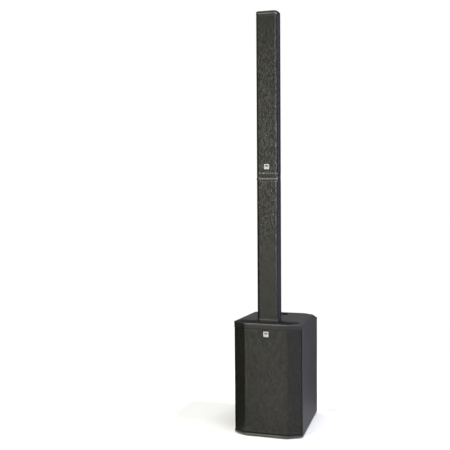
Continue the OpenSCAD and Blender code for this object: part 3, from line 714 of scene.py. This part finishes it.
def punched_field(line, low, high, hem, pitch, hole, thickness):
    """The perforated part of a sheet: six-sided cells in staggered rows, each with a through hole.

    A cell's corners lie pitch over root three from its centre and are shared with its neighbours.
    A ring of four-sided faces joins them to the hole's six corners on the front and on the back,
    six faces line the hole, and the field's outer edge is closed too.
    """
    end, row = run_along(line)[-1], pitch * math.sqrt(3) / 2
    columns = math.ceil((end - 2 * hem[0]) / pitch + 0.5)
    rows = math.ceil((high - low - hem[1] - hem[2]) / row + 0.7)
    middle = (low + hem[1] + high - hem[2]) / 2
    j, i = np.meshgrid(np.arange(rows), np.arange(columns), indexing="ij")
    across = end / 2 + (i + 0.5 * (j % 2) - (columns - 0.5) / 2) * pitch
    centre = np.stack([across, middle + (j - (rows - 1) / 2) * row], -1).reshape(-1, 1, 2)
    turn = np.radians(90 + 60 * np.arange(6))
    star = np.stack([np.cos(turn), np.sin(turn)], 1)
    corner, rim = centre + star * pitch / math.sqrt(3), (centre + star * hole / 2).reshape(-1, 2)
    keys = np.round(corner.reshape(-1, 2) / (pitch * 0.02)).astype(int)
    _, first, where = np.unique(keys, axis=0, return_index=True, return_inverse=True)
    shared, where = corner.reshape(-1, 2)[first], where.reshape(-1, 6)
    flat = np.concatenate([shared, rim])
    count, inner = len(flat), len(shared) + np.arange(len(rim)).reshape(-1, 6)
    next_out, next_in = np.roll(where, -1, 1), np.roll(inner, -1, 1)
    front = np.stack([where, next_out, next_in, inner], -1).reshape(-1, 4)
    back = front[:, ::-1] + count
    lining = np.stack([inner, next_in, next_in + count, inner + count], -1).reshape(-1, 4)
    sides = np.stack([where, next_out], -1).reshape(-1, 2)
    _, which, times = np.unique(np.sort(sides, 1), axis=0, return_index=True, return_counts=True)
    open_side = sides[which[times == 1]]
    rim_wall = np.column_stack([open_side[:, ::-1], open_side + count])
    points = [on_sheet(line, flat[:, 0], flat[:, 1], d) for d in (0, thickness)]
    return np.concatenate(points), np.concatenate([front, back, lining, rim_wall]).tolist()


def swept_strip(line, start, end, profile):
    """A closed strip between two distances along the line; profile is a loop of (depth, height)."""
    run = run_along(line)
    across = np.concatenate([[start], run[(run > start) & (run < end)], [end]])
    count = len(profile)
    points = np.stack([on_sheet(line, across, z, d) for d, z in profile], 1).reshape(-1, 3)
    last = [(len(across) - 1) * count + i for i in range(count)]
    return points, grid_faces(len(across), count) + [list(range(count))[::-1], last]


def plain_band(line, low, high, start, end, out, back):
    """A strip with a rectangular section, out in front of the line and back behind it."""
    return swept_strip(line, start, end, [(-out, low), (back, low), (back, high), (-out, high)])


def add_grille(node, line, hem, pitch, hole, thickness):
    """A punched sheet with a plain hem all round, as tall as its CAD node.

    hem lists the plain width at each side, at the foot and at the head.
    """
    z0, z1 = heights(node)
    end, lap = run_along(line)[-1], 0.1 * MM
    side, foot, head = hem
    inner = z0 + foot, z1 - head
    bands = [(z0, inner[0], 0, end), (inner[1], z1, 0, end)]
    bands += [(*inner, 0, side), (*inner, end - side, end)]
    hems = [plain_band(line, *band, lap, thickness + lap) for band in bands]
    shape = joined([punched_field(line, z0, z1, hem, pitch, hole, thickness), *hems])
    add_piece(node + "_punched", shape, BODY_OF[node], SLOT_OF[node], [node])


def front_corners(node):
    """The bends of a wrapped front sheet's outer face, from its left end to its right end."""
    mesh = frame["nodes"][node].data
    spots = np.array([(v.co.x, v.co.y) for v in mesh.vertices])
    low, high = spots.min(0), spots.max(0)
    flat = spots[spots[:, 1] < low[1] + 0.01 * MM][:, 0].max()
    edge = spots[spots[:, 0] > high[0] - 0.01 * MM][:, 1]
    right = [(flat, low[1]), (high[0], edge.min())]
    if edge.max() - edge.min() > 5 * MM:
        right.append((high[0], edge.max()))
    return np.array([(-x, y) for x, y in reversed(right)] + right)


# ---- Cabinet ----


def finish_boards():
    """Painted boards: rounded outside, sharp where two boards meet under the paint."""
    for side, node in ((-1, "side_panel_left"), (1, "side_panel_right")):
        softened(node, 3.6 * MM, lambda n, s=side: n.z > 0.5 or n.x * s < -0.5)
    softened("top_panel", 2.0 * MM, lambda n: n.z < -0.5)
    softened("rear_panel", 1.0 * MM, lambda n: abs(n.z) > 0.7 or abs(n.x) > 0.9 or n.y < -0.5)
    softened("baffle_board", 0.4 * MM, segments=1, slot="black_paint")
    for node in ("bottom_panel", "cross_brace"):
        softened(node, 0.4 * MM, segments=1)


def finish_front():
    """The moulded tray and plinth, and the punched sheet with its foam between them."""
    softened("column_tray", 1.6 * MM)
    softened("plinth", 1.2 * MM)
    # Painted shade: the carrying slot's cup takes the dull dark finish so the recess reads dark.
    softened("handle_cup", 1.2 * MM, finish="matt_cover")
    add_slot_shade()
    add_tray_dull_layer()
    top, foot = heights("column_tray")[1] - 3 * MM, heights("plinth")[0]
    nose = bent_line(front_corners("column_tray"), 3 * MM)
    add_trim("tray_bead", nose, top - 6.5 * MM, top + 0.4 * MM, 1.2 * MM, "cabinet")
    add_trim("plinth_bead", nose, foot + 1 * MM, foot + 9 * MM, 1.0 * MM, "cabinet")
    step = bent_line(inset_line(front_corners("plinth"), 3.5 * MM), 3 * MM)
    grille_foot, grille_head = heights("cabinet_grille")
    # Painted shade: dull dark bands in the shaded gap between the plinth's step and the sheet, and
    # under the tray's nose.
    add_shade_band("plinth_shade_band", step, grille_foot - 6 * MM, grille_foot - 0.3 * MM, "cabinet")
    add_shade_band("header_shade_band", nose, grille_head + 0.5 * MM, grille_head + 3.5 * MM, "cabinet")
    corners = front_corners("cabinet_grille")
    sheet = bent_line(shortened(corners, 4.6 * MM), 4 * MM)
    add_grille("cabinet_grille", sheet, (1.2 * MM, 9 * MM, 3 * MM), 7 * MM, 5.0 * MM, 1.2 * MM)
    add_grille_edge_shade(corners[-1])
    add_foam("grille_foam", bent_line(front_corners("grille_foam"), 4 * MM), "grille_foam", 5 * MM)


def add_shade_band(name, line, low, high, body, start=0.0, end=None):
    """Painted shade: a dull dark band a quarter of a millimetre proud of a line, laid over a gap
    that is in shade.
    """
    end = run_along(line)[-1] if end is None else end
    add_dull(name, plain_band(line, low, high, start, end, 0.25 * MM, 0.3 * MM), body)


def add_slot_shade():
    """Painted shade: a dull dark collar inside the carrying slot, a square-cornered ring 1 mm thick,
    so the slot reads as a shaded recess.
    """
    low, high = span("handle_cup")
    foot, head = high[2] + 0.2 * MM, heights("top_panel")[1] - 0.4 * MM
    outside, inside = 3.2 * MM, 4.2 * MM
    rings = []
    for cut, z in ((outside, foot), (outside, head), (inside, head), (inside, foot)):
        x0, y0, x1, y1 = low[0] + cut, low[1] + cut, high[0] - cut, high[1] - cut
        rings.append([(x0, y0, z), (x1, y0, z), (x1, y1, z), (x0, y1, z)])
    add_dull("slot_shade", (np.concatenate(rings), grid_faces(4, 4, True)), "cabinet")


def add_tray_dull_layer():
    """A thin dull dark layer on the tray's floor, on each side of the column and in front of it.

    Each half is the tray's outline drawn in by 8 mm, less the raised seat under the column.
    """
    seat_top = heights("column_tray")[1]
    floor = seat_top - 3 * MM
    outline = inset(plan_corners("column_tray", floor), 8 * MM)
    seat = plan_corners("column_tray", seat_top)
    seat_x, seat_y = seat[:, 0].max() + 0.3 * MM, seat[:, 1].min() - 0.3 * MM
    right = outline[outline[:, 0] > 0]
    right = right[np.argsort(right[:, 1])]
    back = outline[:, 1].max()
    half = [(0, outline[:, 1].min()), *map(tuple, right)]
    half += [(seat_x, back), (seat_x, seat_y), (0, seat_y)]
    count, parts = len(half), []
    for side in (-1, 1):
        points = [(side * x, y, z) for z in (floor + 0.05 * MM, floor + 0.35 * MM) for x, y in half]
        faces = grid_faces(2, count) + [list(range(count)), list(range(count, 2 * count))]
        parts.append((points, faces))
    add_dull("tray_dull_layer", joined(parts), "cabinet")


def shortened(line, cut):
    """An open line with its first and last point drawn in by cut along their own segments."""
    line = line.copy()
    for end, inner in ((0, 1), (-1, -2)):
        way = line[inner] - line[end]
        line[end] += way / np.linalg.norm(way) * cut
    return line


def add_grille_edge_shade(end):
    """Painted shade: a dull dark strip behind each side edge of the sheet, in the shaded gap before
    the side panel.
    """
    z0, z1 = heights("cabinet_grille")
    x, y = end
    near, front, back = x - 8 * MM, y + 0.7 * MM, y + 2.4 * MM
    left = brick((-x, front, z0), (-near, back, z1))
    right = brick((near, front, z0), (x, back, z1))
    add_dull("grille_edge_shade", joined([left, right]), "cabinet")


def add_foam(name, line, node, thickness):
    """A foam sheet behind a grille, with soft rounded edges."""
    z0, z1 = heights(node)
    replaced = [node] if node == name else []
    shape = plain_band(line, z0, z1, 0, run_along(line)[-1], 0, thickness)
    piece = add_piece(name + "_sheet", shape, BODY_OF[node], "backing_foam", replaced)
    soften_edges(piece, 0.8 * MM)


def soften_edges(piece, width):
    """Rounds a piece's edges with a two-step bevel."""
    bevel = piece.modifiers.new("rounding", "BEVEL")
    bevel.width, bevel.segments, bevel.limit_method = width, 2, "ANGLE"


def level_bars(low, high, rise=(0.45, 0.8, 1.0, 0.65)):
    """Upright bars of several heights inside a rectangle, three times as wide as the gaps."""
    gap = (high[0] - low[0]) / (4 * len(rise) - 1)
    middle = (low[2] + high[2]) / 2
    parts = []
    for i, share in enumerate(rise):
        left, half = low[0] + 4 * i * gap, share * (high[2] - low[2]) / 2
        parts.append(brick((left, low[1], middle - half), (left + 3 * gap, high[1], middle + half)))
    return joined(parts)


def square_rings(rows, half):
    """Rounded squares seen from the front, from rows of (drawn in, set back) in millimetres."""
    square = np.array([(-1, -1), (1, -1), (1, 1), (-1, 1)], float)
    rings = []
    for drawn, depth in rows:
        size = half - drawn * MM
        ring = rounded(square * size, max((5 - drawn) * MM, 0.1 * size), 7)
        rings.append(np.column_stack([ring[:, 0], np.full(len(ring), depth * MM), ring[:, 1]]))
    return np.concatenate(rings), len(rings[0])


def add_badge(node):
    """A satin square plate with rounded corners, a dull dark ring under it painted as the plate's
    shadow, and plain level bars on it.

    The plate is a rounded square drawn back in steps to a chamfered rim.
    """
    low, high = span(node)
    middle, half = (low + high) / 2, (high[0] - low[0]) / 2
    place = (middle[0], low[1], middle[2])
    rows = [(1.2, 1.3), (1.2, 0.9), (1.7, 0.25), (2.2, 0.05), (half / MM - 0.3, 0.0)]
    points, count = square_rings(rows, half)
    rim, face = list(range(count)), list(range(4 * count, 5 * count))
    plate = (points + place, grid_faces(5, count) + [rim, face])
    add_piece(node + "_plate", plate, BODY_OF[node], SLOT_OF[node], [node], 40)
    # Painted shadow: a dull dark ring, wider than the plate, for the shadow it casts and the shaded
    # recess round it.
    rows = [(-3.4, 1.5), (-3.4, 0.7), (-2.8, 0.4), (1.4, 0.4), (1.4, 1.5)]
    points, count = square_rings(rows, half)
    add_dull(node + "_frame", (points + place, grid_faces(5, count, True)), BODY_OF[node], 40)
    bars_low = (middle[0] - 0.62 * half, low[1] - 0.08 * MM, middle[2] - 0.1 * half)
    bars_high = (middle[0] + 0.62 * half, low[1] + 0.3 * MM, middle[2] + 0.62 * half)
    add_piece(node + "_bars", level_bars(bars_low, bars_high), BODY_OF[node], "black_moulding")


def add_feet():
    """Turned rubber feet: a wide ground ring, a hollow below it and a tapered side."""
    profile = [(0, 6), (16, 6), (17.4, 5.4), (18, 1.2), (17.2, 0.2), (15, 0), (13, 0.3)]
    profile += [(12, 1.4), (0, 1.4)]
    parts = []
    for low, high in islands("rubber_feet"):
        centre = (low + high) / 2
        points, faces = turned(np.array(profile) * MM, (0, 0, 0))
        points = points[:, [0, 2, 1]] + (centre[0], centre[1], low[2])
        parts.append((points, faces))
    add_piece("turned_feet", joined(parts), "cabinet", "black_rubber", ["rubber_feet"], 40)


def add_wadding():
    """Crowned wadding: a block whose top swells and whose sides pull in between its corners.

    On a grid of two angles the plan is a squared circle, with exponent 0.3, and the height is
    the fourth-root-like power 0.45 of the sine of the second angle; slow waves lump the surface.
    """
    low, high = span("damping_wadding")
    rows, columns = 33, 96
    u = np.linspace(0, 2 * math.pi, columns, endpoint=False)[None, :]
    v = np.linspace(-math.pi / 2, math.pi / 2, rows)[:, None]
    power = lambda wave, p: np.sign(wave) * np.abs(wave) ** p
    lumps = 1 - 0.035 * (1 + np.sin(9 * u + 3 * v) * np.sin(5 * v))
    x = power(np.cos(u), 0.3) * power(np.cos(v), 0.35) * lumps
    y = power(np.sin(u), 0.3) * power(np.cos(v), 0.35) * lumps
    z = power(np.sin(v), 0.45) + 0 * u
    half, middle = (high - low) / 2 * 0.99, (low + high) / 2
    points = np.stack([x, y, z], -1).reshape(-1, 3) * half + middle
    shape, replaced = (points, grid_faces(rows, columns)), ["damping_wadding"]
    piece = add_piece("crowned_wadding", shape, "cabinet", "grey_wadding", replaced, 60)


# ---- Rear plate ----

KNOBS = ("channel_1_knob", "channel_2_knob", "sub_knob", "master_knob")
CAP_DEPTH = 13
PRINT = 0.12 * MM
RULES = (474 * MM, 344 * MM, 188 * MM)


def screw_head(centre, radius, height, turn):
    """A domed head facing back, with a cross-shaped recess.

    Over a grid of radius and angle the height is a dome less the recess; the recess is full
    where the distance to the nearer cross arm is small and fades out along the arms.
    """
    angle = np.linspace(0, 2 * math.pi, 48, endpoint=False)[None, :]
    part = np.array([0, 0.12, 0.22, 0.32, 0.42, 0.52, 0.64, 0.8, 0.93, 1.0])[:, None]
    r = part * radius
    x, z = r * np.cos(angle), r * np.sin(angle)
    c, s = math.cos(turn), math.sin(turn)
    arm = np.minimum(np.abs(x * c + z * s), np.abs(z * c - x * s))
    along = np.clip((0.66 - part) / 0.1, 0, 1)
    inside = np.clip((0.17 * radius - arm) / (0.05 * radius), 0, 1) * along
    y = height * (0.45 + 0.55 * np.sqrt(np.clip(1 - part**2, 0, 1))) - 0.5 * height * inside
    cap = np.stack([x, y, z], -1)
    base = np.stack([x[-1:], 0 * y[-1:], z[-1:]], -1)
    floor = base * (0.01, 1, 0.01)
    points = np.concatenate([cap, base, floor]).reshape(-1, 3)
    return points + centre, grid_faces(12, 48)


def add_plate_screws():
    """Cross-head screws round the rear plate, each turned a little further than the last."""
    shank = np.array([(0, 0), (1.8, 0), (1.9, 0.4), (1.9, 7.0), (0.2, 9.0), (0, 9.0)]) * MM
    dome, heads = 2 * MM, []
    for i, (low, high) in enumerate(islands("plate_screws")):
        x, _, z = (low + high) / 2
        heads.append(screw_head((x, high[1] - dome, z), (high[0] - low[0]) / 2, dome, 0.7 * i))
        heads.append(turned(shank * (1, -1), (x, high[1] - 1.9 * MM, z), 16))
    add_piece("cross_head_screws", joined(heads), "cabinet", "black_screws", ["plate_screws"], 30)


def knob_circle(node):
    """A knob's centre line and radius; its pointer reaches above the circle."""
    low, high = span(node)
    radius = (high[0] - low[0]) / 2
    return low[0] + radius, low[2] + radius, radius


def add_knob(node):
    """A fluted knob on its shaft, with a raised pointer and a pale line on it."""
    (low, high), (x, z, radius) = span(node), knob_circle(node)
    face, r = high[1] - 0.6 * MM, radius / MM
    back = face - CAP_DEPTH * MM
    rows = [(0, 0), (r, 0), (r, 2.2), (r - 1.2, 2.9), (r - 1.6, CAP_DEPTH - 1.2)]
    rows += [(r - 2.4, CAP_DEPTH - 0.2), (r - 3.4, CAP_DEPTH)]
    rows += [(3.2, CAP_DEPTH - 0.5), (0, CAP_DEPTH - 0.6)]
    cap = turned(np.array(rows) * MM, (x, back, z), 144, 18, 1.1 * MM, (3, 4, 5))
    shaft = np.array([(0, 0), (2.6, 0), (3, 0.5), (3, 19), (0, 19)]) * MM
    shape = joined([cap, turned(shaft, (x, low[1], z), 32)])
    body, slot = BODY_OF[node], SLOT_OF[node]
    add_piece(node.replace("knob", "cap"), shape, body, slot, [node], 35)
    half, foot = 0.9 * MM, z + 4.6 * MM
    ridge = brick((x - half, back + 3 * MM, foot), (x + half, face + 0.4 * MM, high[2]))
    soften_edges(add_piece(node + "_pointer", ridge, body, slot), 0.35 * MM)
    half, foot, top = 0.35 * MM, z + 4.9 * MM, high[2] + 0.05 * MM
    line = brick((x - half, back + 6 * MM, foot), (x + half, face + 0.5 * MM, top))
    add_piece(node + "_line", line, body, "button_grey")


def tick_marks(x, y, z, near, far, count, sweep):
    """Thin radial bars round a knob, spaced over the sweep, the end and middle ones longer.

    A bar is a box drawn upright at the top and turned about the knob's axis by its angle.
    """
    parts = []
    for i, turn in enumerate(np.radians(np.linspace(-sweep, sweep, count))):
        reach = far + (0.8 * MM if i in (0, count // 2, count - 1) else 0)
        points, faces = brick((-0.22 * MM, y, near), (0.22 * MM, y + PRINT, reach))
        c, s = math.cos(turn), math.sin(turn)
        turned_x = points[:, 0] * c + points[:, 2] * s
        turned_z = points[:, 2] * c - points[:, 0] * s
        parts.append((np.stack([turned_x + x, points[:, 1], turned_z + z], 1), faces))
    return joined(parts)


def add_print():
    """Scales and group lines printed on the rear plate."""
    plate_low, plate_high = span("amp_plate")
    face = plate_high[1] - 0.02 * MM
    parts = []
    for node in KNOBS:
        x, z, radius = knob_circle(node)
        near, far = radius + 2.2 * MM, radius + 4.0 * MM
        parts.append(tick_marks(x, face, z, near, far, 11, 150))
    left, right = plate_low[0] + 14 * MM, plate_high[0] - 14 * MM
    for height in RULES:
        parts.append(brick((left, face, height), (right, face + PRINT, height + 0.5 * MM)))
    add_piece("printed_scales", joined(parts), "cabinet", "button_grey")


def add_button():
    """A round push-button cap with a rolled edge and a shallow dish."""
    low, high = span("mode_button")
    centre = ((low[0] + high[0]) / 2, low[1], (low[2] + high[2]) / 2)
    r, tall = (high[0] - low[0]) / 2 / MM, (high[1] - low[1]) / MM
    rows = [(0, 0), (r, 0), (r, tall - 0.8), (r - 0.25, tall - 0.25), (r - 0.8, tall)]
    rows += [(r - 1.6, tall - 0.35), (0, tall - 0.6)]
    cap, body = turned(np.array(rows) * MM, centre), BODY_OF["mode_button"]
    add_piece("mode_button_cap", cap, body, "button_grey", ["mode_button"], 35)


def add_jack_details():
    """Each socket's two flange screws and its release tab."""
    screws, tabs = [], []
    for low, high in islands("signal_jacks"):
        x, face, top = (low[0] + high[0]) / 2, high[1], high[2]
        for sx, sz in ((-1, 1), (1, -1)):
            spot = (x + sx * 9.6 * MM, face - 0.1 * MM, (low[2] + top) / 2 + sz * 12.2 * MM)
            screws.append(screw_head(spot, 2.2 * MM, 1.0 * MM, 0.5 * sx))
        tab_low = (x - 3 * MM, face - 0.3 * MM, top - 4.6 * MM)
        tabs.append(brick(tab_low, (x + 3 * MM, face + 1.2 * MM, top - 1.2 * MM)))
    add_piece("jack_screws", joined(screws), "cabinet", "silver_plate", (), 30)
    tabs = add_piece("jack_tabs", joined(tabs), "cabinet", "button_grey")
    soften_edges(tabs, 0.5 * MM)


def finish_rear():
    """The rear plate and everything fastened to it."""
    softened("amp_plate", 0.4 * MM, segments=1)
    for node in ("heatsink", "mains_inlet", "signal_jacks", "power_switch"):
        softened(node, 0.5 * MM, segments=2)
    smoothed("status_leds")
    for node in KNOBS:
        add_knob(node)
    add_print()
    add_button()
    add_jack_details()
    add_plate_screws()


# ---- Column ----


def bead_profile(low, high, proud, back, steps=7):
    """A loop of (depth, height): an elliptical arc proud of the face, closed behind it."""
    turn = np.linspace(-math.pi / 2, math.pi / 2, steps)
    middle, half = (low + high) / 2, (high - low) / 2
    arc = [(-proud * math.cos(t), middle + half * math.sin(t)) for t in turn]
    return [(back, low)] + arc + [(back, high)]


def add_trim(name, line, low, high, proud, body):
    """A moulded bead along a front line."""
    shape = swept_strip(line, 0, run_along(line)[-1], bead_profile(low, high, proud, 0.9 * MM))
    add_piece(name, shape, body, "black_moulding", (), 50, "satin_moulding")


def add_rear_dark_strip(node):
    """A darker strip in the moulding finish round the rear of a housing, half a millimetre proud of
    it.

    It is a U-shaped strip: the rear corners of the housing's plan with both ends run forwards.
    """
    low, high = span(node)
    plan = plan_corners(node, high[2])
    rear = plan[plan[:, 1] > (low[1] + high[1]) / 2]
    rear = rear[np.argsort(np.arctan2(rear[:, 1] - low[1], rear[:, 0]))]
    start = low[1] + 0.34 * (high[1] - low[1])
    line = np.concatenate([[(high[0], start)], rear, [(low[0], start)]])
    line = bent_line(line, 3 * MM)
    foot, top, end = low[2] + MM, high[2] - MM, run_along(line)[-1]
    shape = plain_band(line, foot, top, 0, end, 0.5 * MM, 0.3 * MM)
    name = node.replace("housing", "rear_dark_strip")
    add_piece(name, shape, BODY_OF[node], SLOT_OF[node], (), 40, "black_moulding")


def finish_column():
    """Extruded housings, punched fronts with foam behind, moulded caps and joint bands."""
    for node in ("lower_housing", "upper_housing"):
        softened(node, 0.5 * MM, segments=2)
        add_rear_dark_strip(node)
    for node in ("lower_top_cap", "lower_bottom_cap", "upper_bottom_cap", "upper_top_cap"):
        softened(node, 1.0 * MM)
    for node in ("lower_grille", "upper_grille"):
        corners = front_corners(node)
        sheet, hem = bent_line(corners, 2 * MM), (8.2 * MM, 5 * MM, 5 * MM)
        add_grille(node, sheet, hem, 6 * MM, 4.2 * MM, 1.2 * MM)
        add_edge_shade_bands(node, sheet)
        behind = inset_line(corners[1:-1], 2.0 * MM)
        add_foam(node.replace("grille", "foam"), bent_line(behind, 2 * MM), node, 3.0 * MM)
    front = bent_line(inset_line(front_corners("upper_grille")[1:-1], -0.2 * MM), 2.5 * MM)
    foot = heights("lower_bottom_cap")[1]
    lower, upper = heights("lower_top_cap")[1], heights("upper_bottom_cap")[1]
    add_trim("joint_bead_lower", front, lower - 15 * MM, lower - 3 * MM, 2.0 * MM, "lower_column")
    add_trim("joint_bead_upper", front, upper - 6 * MM, upper + 0.4 * MM, 1.6 * MM, "upper_column")
    top = heights("upper_top_cap")[1]
    add_trim("top_bead", front, top - 17 * MM, top - 11 * MM, 1.4 * MM, "upper_column")
    add_trim("foot_bead", front, foot - 4 * MM, foot + 0.4 * MM, 1.0 * MM, "lower_column")


def add_edge_shade_bands(node, line):
    """Painted shade: a dull dark band along both side edges of a column's sheet, over its plain hem,
    where the sheet tucks into the housing in shade.
    """
    low, high = heights(node)
    end, width = run_along(line)[-1], 13 * MM
    for side, start in (("left", 0), ("right", end - width)):
        name = node.replace("grille", side + "_groove")
        add_shade_band(name, line, low + MM, high - MM, BODY_OF[node], start, start + width)


def inset_line(line, distance):
    """An open line moved back: its end points straight, its bends along their bisectors."""
    step = np.diff(line, axis=0)
    step /= np.linalg.norm(step, axis=1)[:, None]
    normal = np.stack([-step[:, 1], step[:, 0]], 1)
    first, last = normal[:1], normal[-1:]
    shared = (normal[1:] + normal[:-1]) / (1 + (normal[1:] * normal[:-1]).sum(1))[:, None]
    return line + np.concatenate([first, shared, last]) * distance


ROUND_NODES = (
    "socket_contacts", "port_tubes", "woofer_basket", "woofer_magnet", "woofer_surround",
    "woofer_spider", "woofer_screws", "amp_board", "power_supply", "wiring_harness",
    "woofer_cone", "dust_cap", "voice_coil", "lower_contacts", "lower_wires",
    "upper_contacts", "upper_baffle", "mid_baskets", "mid_magnets", "mid_surrounds",
    "mid_cones", "horn", "horn_driver", "crossover_board",
)


set_camera()
light_studio()
lay_floor()
finish_boards()
finish_front()
add_badge("cabinet_badge")
add_badge("column_badge")
add_feet()
add_wadding()
finish_rear()
finish_column()
for node in ROUND_NODES:
    smoothed(node)
